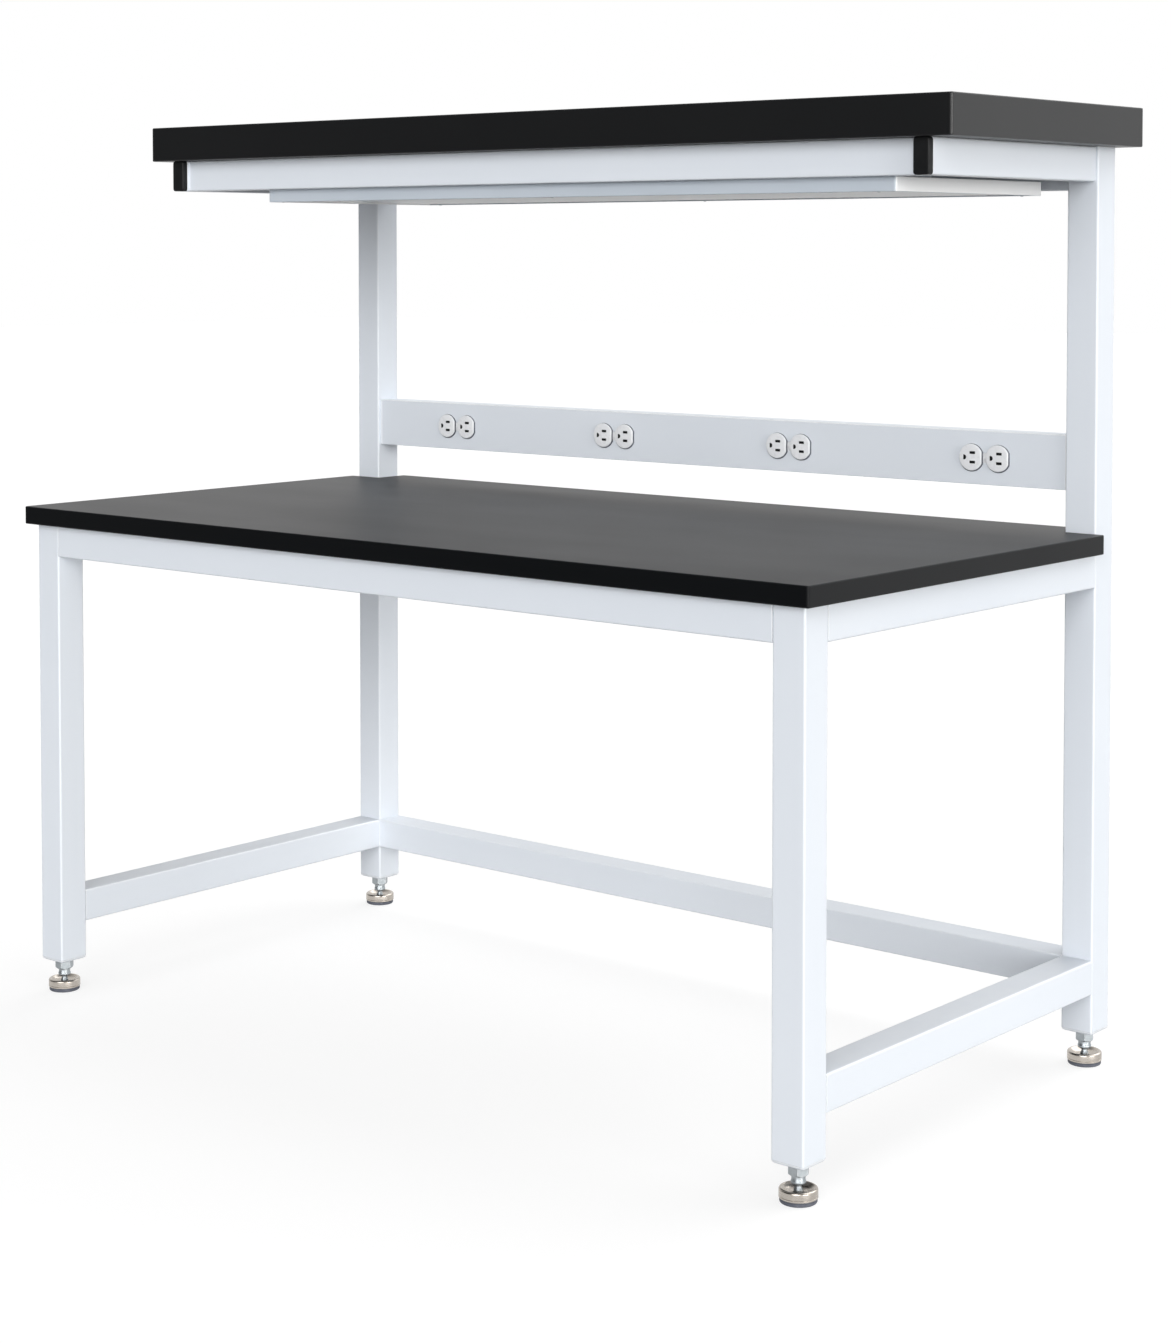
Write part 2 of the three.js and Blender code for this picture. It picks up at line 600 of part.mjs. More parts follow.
function buildFeet() {
  for (const [row, rowSign] of [['front', -1], ['rear', 1]]) {
    for (const [side, sign] of SIDES) {
      const foot = new THREE.Group();
      foot.position.set(sign * LEG_X, rowSign * LEG_Y, 0);
      bench.add(foot);
      add(`foot_insert_${row}_${side}`, footInsert(), 'powderCoat', foot);
      add(`foot_nut_${row}_${side}`, footNut(), 'zinc', foot);
      add(`foot_stud_${row}_${side}`, footStud(), 'zinc', foot);
      add(`foot_cup_${row}_${side}`, footCup(), 'nickel', foot);
      add(`foot_rubber_${row}_${side}`, footRubber(), 'rubber', foot);
    }
  }
}

buildFrame();
buildWorktop();
buildShelf();
buildLight();
buildPowerRail();
buildFeet();

export default bench;
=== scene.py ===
import math

import bmesh
import bpy
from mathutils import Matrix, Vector
from mathutils.geometry import tessellate_polygon


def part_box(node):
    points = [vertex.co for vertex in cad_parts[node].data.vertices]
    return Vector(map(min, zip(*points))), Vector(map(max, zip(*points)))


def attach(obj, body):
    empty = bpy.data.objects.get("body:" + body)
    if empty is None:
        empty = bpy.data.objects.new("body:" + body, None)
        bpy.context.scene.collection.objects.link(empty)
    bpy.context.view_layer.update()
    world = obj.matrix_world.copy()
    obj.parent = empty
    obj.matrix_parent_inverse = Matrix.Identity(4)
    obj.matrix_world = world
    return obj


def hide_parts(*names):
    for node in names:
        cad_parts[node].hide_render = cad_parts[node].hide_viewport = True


# A lab bench with a reagent shelf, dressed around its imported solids. Blender units are metres;
# the pieces made here are laid out in millimetres and scaled when they are placed.

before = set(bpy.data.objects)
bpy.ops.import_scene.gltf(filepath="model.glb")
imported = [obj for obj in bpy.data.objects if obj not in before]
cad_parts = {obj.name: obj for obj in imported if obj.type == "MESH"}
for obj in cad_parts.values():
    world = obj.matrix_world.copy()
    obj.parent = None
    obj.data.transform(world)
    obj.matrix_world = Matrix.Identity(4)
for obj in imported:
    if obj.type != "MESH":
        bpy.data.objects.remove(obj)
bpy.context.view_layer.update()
scene = bpy.context.scene
scene.view_settings.view_transform = "Standard"

MM = 0.001


# Camera, fitted to the photograph

IMAGE_HEIGHT = 1343
CAMERA_PLACE = (2.56395, -2.96081, 1.18732)
CAMERA_YAW = 0.6998
CAMERA_TIP = -0.0424  # a little downwards
FOCAL_PIXELS = 2578.98
AXIS_ROW = 360.0  # pixels from the picture's top to the lens axis
SENSOR = 36.0


def add_camera():
    data = bpy.data.cameras.new("camera")
    data.sensor_width = SENSOR
    data.lens = SENSOR * FOCAL_PIXELS / IMAGE_HEIGHT
    data.shift_y = (AXIS_ROW - IMAGE_HEIGHT / 2) / IMAGE_HEIGHT
    camera = bpy.data.objects.new("camera", data)
    camera.location = CAMERA_PLACE
    camera.rotation_euler = (math.pi / 2 + CAMERA_TIP, 0, CAMERA_YAW)
    scene.collection.objects.link(camera)
    scene.camera = camera


add_camera()


# Material nodes

NOISE_LOW, NOISE_HIGH = 0.3, 0.7  # most of a noise lies between these
BEVEL_SAMPLES = 4
EDGE_LIKENESS, FLAT_LIKENESS = 0.88, 0.998  # of a bevelled normal to the true one
MIX_BASE, MIX_COLOUR, MIX_RESULT = 6, 7, 2  # the colour sockets of a Mix node


class Nodes:
    """A material's nodes, with a Principled BSDF already on its output."""

    def __init__(self, name):
        self.material = bpy.data.materials.new(name)
        self.material.use_nodes = True
        self.tree = self.material.node_tree
        self.shader = self.tree.nodes["Principled BSDF"]

    def add(self, kind):
        return self.tree.nodes.new(kind)

    def link(self, source, target):
        self.tree.links.new(source, target)

    def noise(self, scale, detail=2.0, stretch=(1, 1, 1)):
        place = self.add("ShaderNodeTexCoord")
        mapping = self.add("ShaderNodeMapping")
        mapping.inputs["Scale"].default_value = stretch
        self.link(place.outputs["Object"], mapping.inputs["Vector"])
        node = self.add("ShaderNodeTexNoise")
        node.inputs["Scale"].default_value = scale
        node.inputs["Detail"].default_value = detail
        self.link(mapping.outputs["Vector"], node.inputs["Vector"])
        return node.outputs["Fac"]

    def ramp(self, source, *stops):
        """Colours by position along a source that runs from 0 to 1."""
        node = self.add("ShaderNodeValToRGB")
        elements = node.color_ramp.elements
        while len(elements) < len(stops):
            elements.new(0.5)
        for element, (position, colour) in zip(elements, stops):
            element.position = position
            element.color = (*colour, 1)
        self.link(source, node.inputs["Fac"])
        return node.outputs["Color"]

    def mottle(self, noise, dark, light):
        """Two shades, mixed by a noise."""
        return self.ramp(noise, (NOISE_LOW, dark), (NOISE_HIGH, light))

    def remap(self, source, low, high, start=NOISE_LOW, end=NOISE_HIGH):
        """Goes from low to high as the source goes from start to end."""
        node = self.add("ShaderNodeMapRange")
        for name, value in (("From Min", start), ("From Max", end), ("To Min", low), ("To Max", high)):
            node.inputs[name].default_value = value
        self.link(source, node.inputs["Value"])
        return node.outputs["Result"]

    def blend(self, factor, base, colour):
        """From a base towards one colour."""
        node = self.add("ShaderNodeMix")
        node.data_type = "RGBA"
        self.link(factor, node.inputs["Factor"])
        self.link(base, node.inputs[MIX_BASE])
        node.inputs[MIX_COLOUR].default_value = (*colour, 1)
        return node.outputs[MIX_RESULT]

    def maths(self, operation, *sources):
        node = self.add("ShaderNodeMath")
        node.operation = operation
        for source, target in zip(sources, node.inputs):
            self.link(source, target)
        return node.outputs[0]

    def along(self, axis, vector):
        node = self.add("ShaderNodeSeparateXYZ")
        self.link(vector, node.inputs[0])
        return node.outputs[axis]

    def normal(self):
        return self.add("ShaderNodeNewGeometry").outputs["Normal"]

    def bevelled(self, radius):
        """The normal, rounded off within a radius of an edge."""
        node = self.add("ShaderNodeBevel")
        node.samples = BEVEL_SAMPLES
        node.inputs["Radius"].default_value = radius
        return node.outputs["Normal"]

    def edges(self, strength, radius, at_low=(-0.6, 0.2), at_high=(0.15, 1.0)):
        """0 on flat ground, rising within a radius of an edge to strength times a share: the mask for
        painted highlight and painted shade along edges.

        The share goes by the upward part of the edge's normal, as light from above falls on it: at_low and
        at_high are (part, share).
        """
        bevelled = self.bevelled(radius)
        likeness = self.add("ShaderNodeVectorMath")
        likeness.operation = "DOT_PRODUCT"
        self.link(bevelled, likeness.inputs[0])
        self.link(self.normal(), likeness.inputs[1])
        edge = self.remap(likeness.outputs["Value"], strength, 0.0, EDGE_LIKENESS, FLAT_LIKENESS)
        share = self.remap(self.along("Z", bevelled), at_low[1], at_high[1], at_low[0], at_high[0])
        return self.maths("MULTIPLY", edge, share)

    def bump(self, height, distance, strength, edge_radius=0.0):
        node = self.add("ShaderNodeBump")
        node.inputs["Strength"].default_value = strength
        node.inputs["Distance"].default_value = distance
        self.link(height, node.inputs["Height"])
        if edge_radius > 0:
            self.link(self.bevelled(edge_radius), node.inputs["Normal"])
        return node.outputs["Normal"]

    def finish(self, colour, roughness, normal, **constants):
        for name, source in (("Base Color", colour), ("Roughness", roughness), ("Normal", normal)):
            self.link(source, self.shader.inputs[name])
        for name, value in constants.items():
            self.shader.inputs[name.replace("_", " ")].default_value = value
        return self.material


# Finishes

WORKTOP_SHEEN = 0.205
SHELF_SHEEN = 0.66


def powder_coat():
    """White powder coat: orange peel, a faint drift of tone, a painted highlight on edges that face up and
    painted shade on edges that face down.
    """
    n = Nodes("powder_coat")
    colour = n.mottle(n.noise(2.2, detail=3.0), (0.70, 0.742, 0.80), (0.73, 0.77, 0.825))
    # Painted highlight: edges that face up are lightened towards white, as if lit from above.
    colour = n.blend(n.edges(1.0, 2.4 * MM), colour, (0.97, 0.975, 0.98))
    # Painted shade: edges that face down are darkened to blue-grey.
    painted_shade_edges = n.edges(1.0, 2.0 * MM, at_low=(-0.75, 1.0), at_high=(-0.3, 0.0))
    colour = n.blend(painted_shade_edges, colour, (0.40, 0.44, 0.50))
    roughness = n.remap(n.noise(35.0, detail=3.0), 0.30, 0.42)
    normal = n.bump(n.noise(620.0), 0.12 * MM, 0.3, edge_radius=1.2 * MM)
    return n.finish(colour, roughness, normal)


def grey_enamel():
    """The light's housing: blue-grey, and white on the faces that point along X, its ends."""
    n = Nodes("grey_enamel")
    colour = n.mottle(n.noise(3.0, detail=3.0), (0.47, 0.525, 0.585), (0.53, 0.58, 0.64))
    # The colour goes by the way a face points: faces along X turn white, the rest stay blue-grey.
    sideways = n.maths("ABSOLUTE", n.along("X", n.normal()))
    colour = n.blend(n.remap(sideways, 0.0, 1.0, start=0.5, end=0.8), colour, (0.86, 0.87, 0.88))
    roughness = n.remap(n.noise(60.0, detail=3.0), 0.32, 0.44)
    normal = n.bump(n.noise(700.0), 0.1 * MM, 0.25, edge_radius=1.0 * MM)
    return n.finish(colour, roughness, normal)


def black_resin(name, sheen):
    """Black resin slab: fine speckle, a soft sheen, the haze that wiping leaves and a painted highlight
    along its edges.
    """
    n = Nodes(name)
    colour = n.ramp(
        n.noise(1500.0),
        (0.0, (0.0006, 0.0011, 0.0018)), (0.6, (0.0011, 0.0017, 0.0026)), (0.72, (0.004, 0.0052, 0.007)),
    )
    # Painted highlight: edges lightened a little, most where they face up.
    colour = n.blend(n.edges(0.7, 1.2 * MM), colour, (0.03, 0.033, 0.038))
    roughness = n.remap(n.noise(2.4, detail=4.0, stretch=(1, 2.2, 1)), 0.42, 0.455)
    normal = n.bump(n.noise(900.0, detail=3.0), 0.08 * MM, 0.22, edge_radius=1.0 * MM)
    return n.finish(colour, roughness, normal, Specular_IOR_Level=sheen)


def worktop_resin():
    return black_resin("worktop_resin", WORKTOP_SHEEN)


def shelf_resin():
    return black_resin("shelf_resin", SHELF_SHEEN)


def black_plastic():
    """Moulded black plastic with a fine spark-eroded texture."""
    n = Nodes("black_plastic")
    colour = n.mottle(n.noise(30.0, detail=3.0), (0.006, 0.0065, 0.007), (0.01, 0.0105, 0.0115))
    roughness = n.remap(n.noise(90.0), 0.36, 0.5)
    normal = n.bump(n.noise(1500.0), 0.1 * MM, 0.3, edge_radius=0.8 * MM)
    return n.finish(colour, roughness, normal, Specular_IOR_Level=0.25)


def white_plastic():
    """Glossy white thermoplastic of the receptacles, with a painted highlight along its edges."""
    n = Nodes("white_plastic")
    colour = n.mottle(n.noise(40.0), (0.76, 0.775, 0.80), (0.79, 0.80, 0.82))
    # Painted highlight: edges lightened towards white, most where they face up.
    colour = n.blend(n.edges(0.9, 0.8 * MM), colour, (0.96, 0.965, 0.97))
    roughness = n.remap(n.noise(200.0), 0.24, 0.34)
    return n.finish(colour, roughness, n.bump(n.noise(1200.0), 0.05 * MM, 0.2))


def opal_plastic():
    """Opal diffuser with a fine prismatic texture."""
    n = Nodes("opal_plastic")
    colour = n.mottle(n.noise(6.0), (0.84, 0.85, 0.85), (0.88, 0.885, 0.88))
    roughness = n.remap(n.noise(120.0), 0.3, 0.42)
    normal = n.bump(n.noise(520.0), 0.2 * MM, 0.4)
    return n.finish(colour, roughness, normal, Subsurface_Weight=0.15, Subsurface_Scale=4 * MM)


def circuit_board():
    """White solder mask over faint copper tracks."""
    n = Nodes("circuit_board")
    tracks = n.noise(25.0, stretch=(0.2, 3.0, 1.0))
    colour = n.mottle(tracks, (0.77, 0.78, 0.74), (0.84, 0.84, 0.81))
    roughness = n.remap(n.noise(300.0), 0.45, 0.6)
    return n.finish(colour, roughness, n.bump(n.noise(900.0), 0.1 * MM, 0.3))


def zinc():
    """Zinc plate: cool grey, slightly clouded, with a painted highlight along its edges."""
    n = Nodes("zinc")
    colour = n.mottle(n.noise(160.0, detail=4.0), (0.33, 0.36, 0.38), (0.42, 0.45, 0.47))
    # Painted highlight: edges lightened to near white, most where they face up.
    colour = n.blend(n.edges(1.2, 0.8 * MM), colour, (0.92, 0.93, 0.94))
    roughness = n.remap(n.noise(420.0, detail=3.0), 0.36, 0.48)
    return n.finish(colour, roughness, n.bump(n.noise(1500.0), 0.05 * MM, 0.3), Metallic=1.0)


def nickel():
    """Turned cup: warm grey metal with fine rings from the lathe."""
    n = Nodes("nickel")
    colour = n.mottle(n.noise(90.0, detail=3.0), (0.46, 0.42, 0.375), (0.52, 0.48, 0.435))
    rings = n.noise(1100.0, stretch=(0.02, 0.02, 1.0))
    roughness = n.remap(rings, 0.2, 0.34)
    return n.finish(colour, roughness, n.bump(rings, 0.05 * MM, 0.3), Metallic=1.0)


def rubber():
    """Grey-blue rubber, dull, with a little dust."""
    n = Nodes("rubber")
    colour = n.mottle(n.noise(120.0, detail=3.0), (0.075, 0.082, 0.105), (0.11, 0.118, 0.145))
    roughness = n.remap(n.noise(300.0), 0.6, 0.8)
    return n.finish(colour, roughness, n.bump(n.noise(1300.0), 0.1 * MM, 0.4))


FINISHES = {make.__name__: make() for make in (
    powder_coat, grey_enamel, worktop_resin, shelf_resin, black_plastic, white_plastic, opal_plastic,
    circuit_board, zinc, nickel, rubber,
)}

# Finishes of the CAD nodes, by a word in the node's name; all others are powder coated
NODE_FINISHES = {
    "worktop": "worktop_resin",
    "shelf_top": "shelf_resin",
    "cap": "black_plastic",
    "gland": "black_plastic",
    "rocker": "black_plastic",
    "receptacle": "white_plastic",
    "driver": "white_plastic",
    "light_housing": "grey_enamel",
    "diffuser": "opal_plastic",
    "led_board": "circuit_board",
    "foot_nut": "zinc",
    "foot_stud": "zinc",
    "foot_cup": "nickel",
    "foot_rubber": "rubber",
}

for name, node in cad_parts.items():
    finish = next((slot for word, slot in NODE_FINISHES.items() if word in name), "powder_coat")
    for material_slot in node.material_slots:
        material_slot.material = FINISHES[finish]


# Mesh helpers. A solid is (vertices, faces), in millimetres until it becomes a piece.

SMOOTH = math.radians(38)  # edges sharper than this stay crisp
WELD = 0.001 * MM  # points closer than this are one


def piece(name, solid, finish, body, replaces=None):
    """Makes one piece of the object and hangs it on a body."""
    vertices, faces = solid
    mesh = bpy.data.meshes.new(name)
    mesh.from_pydata([tuple(c * MM for c in vertex) for vertex in vertices], [], faces)
    bm = bmesh.new()
    bm.from_mesh(mesh)
    bmesh.ops.remove_doubles(bm, verts=bm.verts, dist=WELD)
    bmesh.ops.recalc_face_normals(bm, faces=bm.faces)
    bm.to_mesh(mesh)
    bm.free()
    mesh.shade_smooth()
    mesh.set_sharp_from_angle(angle=SMOOTH)
    mesh.materials.append(FINISHES[finish])
    obj = bpy.data.objects.new(name, mesh)
    scene.collection.objects.link(obj)
    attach(obj, body)
    if replaces:
        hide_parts(replaces)


def merged(*solids):
    """Several solids as one."""
    vertices, faces = [], []
    for more_vertices, more_faces in solids:
        start = len(vertices)
        vertices += more_vertices
        faces += [[start + index for index in face] for face in more_faces]
    return vertices, faces


def moved(solid, change):
    """A solid with every point sent through change."""
    vertices, faces = solid
    return [change(*vertex) for vertex in vertices], faces


def shifted(solid, u=0.0, v=0.0, w=0.0):
    vertices, faces = solid
    return [(x + u, y + v, z + w) for x, y, z in vertices], faces


def at_level(outline, w):
    return [(u, v, w) for u, v in outline]


def loft(rings, closed_ends=True):
    """Skins a row of closed rings of equal length."""
    vertices = [vertex for ring in rings for vertex in ring]
    count = len(rings[0])
    faces = []
    for row in range(len(rings) - 1):
        for column in range(count):
            following = (column + 1) % count
            faces.append([
                row * count + column, row * count + following,
                (row + 1) * count + following, (row + 1) * count + column,
            ])
    if closed_ends:
        faces.append(list(range(count))[::-1])
        faces.append(list(range((len(rings) - 1) * count, len(rings) * count)))
    return vertices, faces


def turned(profile, steps=48):
    """A profile of (radius, height), from the axis back to the axis, turned about Z."""
    rows, vertices, faces = [], [], []
    for radius, height in profile:
        start = len(vertices)
        if radius == 0:
            rows.append([start] * steps)
            vertices.append((0, 0, height))
            continue
        rows.append(list(range(start, start + steps)))
        for step in range(steps):
            angle = 2 * math.pi * step / steps
            vertices.append((radius * math.cos(angle), radius * math.sin(angle), height))
    for low, high in zip(rows, rows[1:]):
        for step in range(steps):
            following = (step + 1) % steps
            corners = dict.fromkeys((low[step], low[following], high[following], high[step]))
            if len(corners) > 2:
                faces.append(list(corners))
    return vertices, faces


def arc(centre, radius, start, end, steps=5):
    """Points on an arc, its angles in degrees."""
    angles = [math.radians(start + (end - start) * step / steps) for step in range(steps + 1)]
    return [(centre[0] + radius * math.cos(a), centre[1] + radius * math.sin(a)) for a in angles]


def rounded_rectangle(width, height, radius, steps=4):
    x, y = width / 2 - radius, height / 2 - radius
    corners = [((x, y), 0), ((-x, y), 90), ((-x, -y), 180), ((x, -y), 270)]
    return [point for centre, start in corners for point in arc(centre, radius, start, start + 90, steps)]


def millimetres(node):
    """A node's lowest and highest corners."""
    low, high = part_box(node)
    return low / MM, high / MM


def middle(low, high):
    return tuple((a + b) / 2 for a, b in zip(low, high))


# Levelling feet. Each maker takes the lowest and highest corners of the solid that it stands for.

CORNERS = ("front_left", "front_right", "rear_left", "rear_right")
FOOT_STEPS = 72
TREAD = 1.0  # depth of the hollow and groove under the rubber
RUBBER_EASE = 2.2
CUP_GROOVE = 2.8  # height of the groove above the cup's foot
CUP_RIM = 3.0
CUP_SOCKET = 6.4
CUP_FLOOR = 2.0
BALL_RADIUS = 6.0
NECK_RADIUS = 4.4
COLLAR_RADIUS = 9.7
COLLAR_EASE = 1.8
COLLAR_LOW, COLLAR_HIGH = 23.4, 34.4
THREAD_RADIUS = 8.0
THREAD_PITCH = 2.0
THREAD_DEPTH = 1.1
THREAD_TIP = 2.0  # length of the taper at its upper end
THREAD_COLUMNS = 24
ROWS_PER_TURN = 6
NUT_BORE = 8.3
NUT_STEPS = 12  # along each side of the hexagon
NUT_FACES = (0.7, 0.2)  # how far its round lower and upper faces lie within the flats
NUT_CHAMFERS = (0.8, 0.3)  # how steeply the corners fall away to those faces
INSERT_BORE = 8.4
INSERT_EASE = 4.0
INSERT_CORNER = 3.0
INSERT_WALL = 2.2  # from the cap's side in to the block
INSERT_STEPS = 192


def cup_solid(low, high):
    """A turned cup: a groove near its foot, a broad rounded rim, a dish down to the ball's socket."""
    bottom, top, radius = low.z, high.z, (high.x - low.x) / 2
    groove, floor = bottom + CUP_GROOVE, bottom + CUP_FLOOR
    return turned([
        (0, bottom), (radius - 0.6, bottom), (radius, bottom + 0.6),
        (radius, groove - 0.4), (radius - 0.5, groove), (radius, groove + 0.4),
        *arc((radius - CUP_RIM, top - CUP_RIM), CUP_RIM, 0, 125, steps=9),
        (radius - 7.5, top - 3.0), (radius - 11, top - 4.6),
        (CUP_SOCKET + 4, top - 5.4), (CUP_SOCKET + 1, top - 5.8), (CUP_SOCKET, top - 6.2),
        (CUP_SOCKET, floor), (0, floor),
    ], FOOT_STEPS)


def rubber_solid(low, high):
    """A round pad, hollowed and grooved underneath, that steps in just below the cup."""
    bottom, top, radius = low.z, high.z, (high.x - low.x) / 2
    tread = bottom + TREAD
    return turned([
        (0, tread), (radius * 0.3, tread), (radius * 0.34, bottom), (radius * 0.62, bottom),
        (radius * 0.66, tread), (radius * 0.76, tread), (radius * 0.8, bottom),
        (radius - RUBBER_EASE, bottom),
        *arc((radius - RUBBER_EASE, bottom + RUBBER_EASE), RUBBER_EASE, -80, 0),
        (radius, top - 1.6), (radius - 0.7, top - 1.1), (radius - 0.7, top), (0, top),
    ], FOOT_STEPS)


def thread_solid(bottom, top):
    """A thread with one start, tapered at its upper end."""
    rings = []
    rows = round((top - bottom) / THREAD_PITCH * ROWS_PER_TURN)
    for row in range(rows + 1):
        z = bottom + (top - bottom) * row / rows
        taper = max(0.0, z - (top - THREAD_TIP))
        ring = []
        for column in range(THREAD_COLUMNS):
            turn = column / THREAD_COLUMNS
            angle = 2 * math.pi * turn
            wave = abs(2 * ((z / THREAD_PITCH - turn) % 1) - 1)
            radius = THREAD_RADIUS - THREAD_DEPTH * wave - taper
            ring.append((radius * math.cos(angle), radius * math.sin(angle), z))
        rings.append(ring)
    return loft(rings)


def stud_solid(low, high):
    """The ball, the waisted neck and the collar below the hexagon, then the thread."""
    ball, ease = low.z + BALL_RADIUS, COLLAR_EASE
    lower = turned([
        (0, low.z), *arc((0, ball), BALL_RADIUS, -75, 40, steps=8),
        (NECK_RADIUS, ball + 5.4), (NECK_RADIUS - 0.4, ball + 7.2), (NECK_RADIUS + 0.2, COLLAR_LOW - 0.2),
        (COLLAR_RADIUS - 2.2, COLLAR_LOW),
        *arc((COLLAR_RADIUS - ease, COLLAR_LOW + ease), ease, -70, 0, steps=4),
        (COLLAR_RADIUS, COLLAR_LOW + 4.2), (COLLAR_RADIUS - 0.7, COLLAR_LOW + 5.2),
        (COLLAR_RADIUS - 0.7, COLLAR_HIGH - 1.0), (COLLAR_RADIUS - 1.5, COLLAR_HIGH), (0, COLLAR_HIGH),
    ])
    return merged(lower, thread_solid(COLLAR_HIGH, high.z))


def nut_solid(low, high):
    """A hexagon nut round a bore, its corners chamfered at both ends."""
    bottom, top, flat = low.z, high.z, (high.y - low.y) / 2
    face_low, face_high = (flat - inset for inset in NUT_FACES)
    chamfer_low, chamfer_high = NUT_CHAMFERS
    side = math.pi / 3
    columns = []
    for step in range(6 * NUT_STEPS):
        angle = side * step / NUT_STEPS
        from_corner = (angle + side / 2) % side - side / 2
        reach = flat / math.cos(side / 2 - abs(from_corner))
        profile = (
            (NUT_BORE, bottom), (face_low, bottom), (reach, bottom + (reach - face_low) * chamfer_low),
            (reach, top - (reach - face_high) * chamfer_high), (face_high, top), (NUT_BORE, top),
            (NUT_BORE, bottom),
        )
        columns.append([(r * math.cos(angle), r * math.sin(angle), z) for r, z in profile])
    return loft(list(zip(*columns)), closed_ends=False)


def square_reach(half, corner, angle):
    """From the middle of a square with round corners to its outline, along an angle."""
    long, short = sorted((abs(math.cos(angle)), abs(math.sin(angle))), reverse=True)
    if half * short / long <= half - corner:
        return half / long
    inner = half - corner
    along = inner * (long + short)
    return along + math.sqrt(along ** 2 - 2 * inner ** 2 + corner ** 2)


def insert_solid(low, high):
    """The cap under a leg, its lower edges well rounded, and the threaded block inside the tube."""
    bottom, top, half = low.z, high.z, (high.x - low.x) / 2
    block = half - INSERT_WALL
    angles = [2 * math.pi * step / INSERT_STEPS for step in range(INSERT_STEPS)]

    def bore(z):
        return [(INSERT_BORE * math.cos(angle), INSERT_BORE * math.sin(angle), z) for angle in angles]

    def square(z, size, corner=INSERT_CORNER):
        reaches = [square_reach(size, corner, angle) for angle in angles]
        return [(r * math.cos(angle), r * math.sin(angle), z) for r, angle in zip(reaches, angles)]

    rings = [bore(bottom)]
    for inset, rise in arc((INSERT_EASE, INSERT_EASE), INSERT_EASE, 270, 180, steps=6):
        rings.append(square(bottom + rise, half - inset, INSERT_CORNER + inset / 2))
    rings += [square(bottom + INSERT_EASE, block), square(top, block), bore(top), bore(bottom)]
    return loft(rings, closed_ends=False)


def dress_foot(corner):
    x, y, _ = middle(*millimetres(f"foot_cup_{corner}"))
    for name, make, finish, body in (
        ("foot_cup", cup_solid, "nickel", f"pad_{corner}"),
        ("foot_rubber", rubber_solid, "rubber", f"pad_{corner}"),
        ("foot_stud", stud_solid, "zinc", f"stud_{corner}"),
        ("foot_nut", nut_solid, "zinc", f"nut_{corner}"),
        ("foot_insert", insert_solid, "powder_coat", "frame"),
    ):
        node = f"{name}_{corner}"
        solid = shifted(make(*millimetres(node)), x, y)
        piece(f"{name}_dressed_{corner}", solid, finish, body, node)


for corner in CORNERS:
    dress_foot(corner)


# Receptacles. Local axes: u along the rail, v up, w out of the rail's front face.

RECEPTACLES = 4
FACE_RADIUS = 20.0
FACE_FLAT = 18.0  # from the middle to the flat on the right
FACE_SPACING = 45.5
FACE_ROOT = -3.0
FACE_REACH = 4.0
FACE_RIM = 1.6
FACE_SHIFTS = (-FACE_SPACING / 2, FACE_SPACING / 2)
STRAP_HALF = 6.5
STRAP_REACH = 0.5
STRAP_CORNER = 0.8
STRAP_EASE = 0.3
BLADE = (10.0, 4.2)
BLADE_CORNER = 0.6
BLADE_SHIFT = 3.0
BLADE_SPACING = 14.2
GROUND_RADIUS = 3.7
GROUND_SHIFT = 11.0
SLOT_FLOOR = -5.0
SLOT_SHADE_LEVELS = (  # levels of the dark plugs that paint shade into the slots: (share of the slot's size, w)
    (0.97, SLOT_FLOOR + 0.1), (0.97, FACE_REACH - 0.5), (0.9, FACE_REACH - 0.3),
)
GASKET = 0.8  # how far it shows round the face
GASKET_LAP = 0.9  # how far it reaches in under the face
GASKET_ROOT = -0.5
GASKET_REACH = 2.0
GASKET_EASE = 0.5
# Painted shade: the gaskets are set off down and to the right, so their dark rim shows on those sides of
# the faces.
GASKET_SHADE_SHIFT = (0.5, -0.5)
DEVICE = (91.0, 44.0)
DEVICE_BACK, DEVICE_FRONT = -27.6, -1.6
DEVICE_CORNER = 3.0
DEVICE_EASE = 1.0
SCREW_SLOT = 0.8
SCREW_STEPS = 32
SCREW_DOME = ((1.0, 0.4), (0.96, 0.65), (0.8, 0.88), (0.55, 1.0))  # shares of a head's radius and height
STRAP_SCREW = {"radius": 2.6, "height": 1.0}
STRAP_SCREW_RISE = 0.3
STRAP_SHANK = ((0, -9), (1.4, -8), (1.4, 0.5), (0, 0.5))


def face_outline(inset=0.0, steps=44):
    """A disc with a flat on its right."""
    radius = FACE_RADIUS - inset
    cut_angle = math.degrees(math.acos((FACE_FLAT - inset) / radius))
    return arc((0, 0), radius, cut_angle, 360 - cut_angle, steps)


def slot_outlines():
    """The holes of one face, each a ring of points."""
    blade = rounded_rectangle(*BLADE, BLADE_CORNER, steps=3)
    rings = []
    for v_shift in (-BLADE_SPACING / 2, BLADE_SPACING / 2):
        rings.append([(u + BLADE_SHIFT, v + v_shift) for u, v in blade])
    round_side = arc((0, 0), GROUND_RADIUS, -90, 90, steps=10)
    flat_side = [(-GROUND_RADIUS / 2, GROUND_RADIUS), (-GROUND_RADIUS / 2, -GROUND_RADIUS)]
    rings.append([(u - GROUND_SHIFT, v) for u, v in round_side + flat_side])
    return rings


